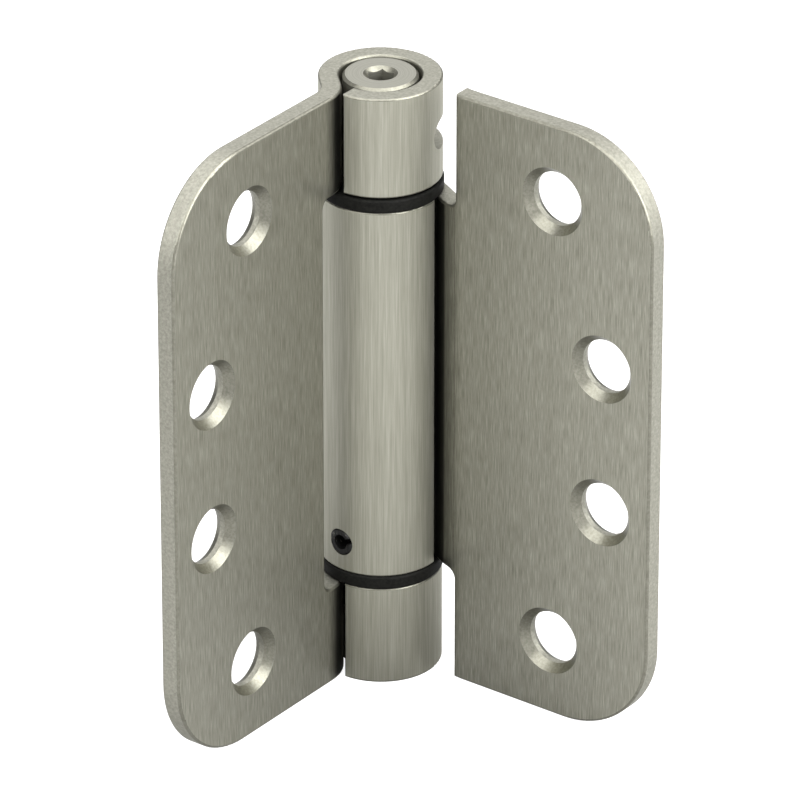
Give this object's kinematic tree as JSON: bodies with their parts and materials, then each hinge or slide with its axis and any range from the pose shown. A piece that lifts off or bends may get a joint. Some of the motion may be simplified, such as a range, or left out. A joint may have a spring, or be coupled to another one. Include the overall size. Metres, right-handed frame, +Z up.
{
  "type": "spring loaded door hinge",
  "caption": "Adjustable spring hinge for a swing door: two countersunk round-cornered leaves on a barrel that holds a torsion spring, set by a hex socket.",
  "frame": {"origin": "on the barrel's axis, at the bottom face of the bottom knuckle's plug, level with the leaves' bottom edges", "axes": "+Z up along the barrel's axis; the jamb leaf points along -Y with its countersunk face towards +X, and the door leaf points along +X with its countersunk face towards -Y"},
  "size_m": [0.0606, 0.0606, 0.1016],
  "materials": {
    "nickel_sheet": "satin nickel plate over brushed sheet steel",
    "nickel_turned": "satin nickel plate over turned steel",
    "black_acetal": "moulded black acetal",
    "spring_steel": "oiled spring wire",
    "black_oxide": "black oxide spring steel"
  },
  "bodies": {
    "jamb_leaf": {"jamb_leaf": "nickel_sheet", "lower_bearing": "black_acetal", "bottom_plug": "nickel_turned"},
    "door_leaf": {"door_leaf": "nickel_sheet", "upper_bearing": "black_acetal", "spring_anchor": "nickel_turned", "anchor_roll_pin": "black_oxide", "torsion_spring": "spring_steel"},
    "tension_adjuster": {"tension_adjuster": "nickel_turned"}
  },
  "joints": [
    {"name": "leaf_swing", "type": "hinge", "parent": "jamb_leaf", "child": "door_leaf", "pos_m": [0, 0, 0], "axis": [0, 0, 1], "range_deg": [-90, 90], "stiffness_Nm_per_rad": 0.7, "deforming": ["torsion_spring"]},
    {"name": "adjuster_turn", "type": "hinge", "parent": "jamb_leaf", "child": "tension_adjuster", "pos_m": [0, 0, 0.1016], "axis": [0, 0, -1], "range_deg": [0, 270]}
  ]
}
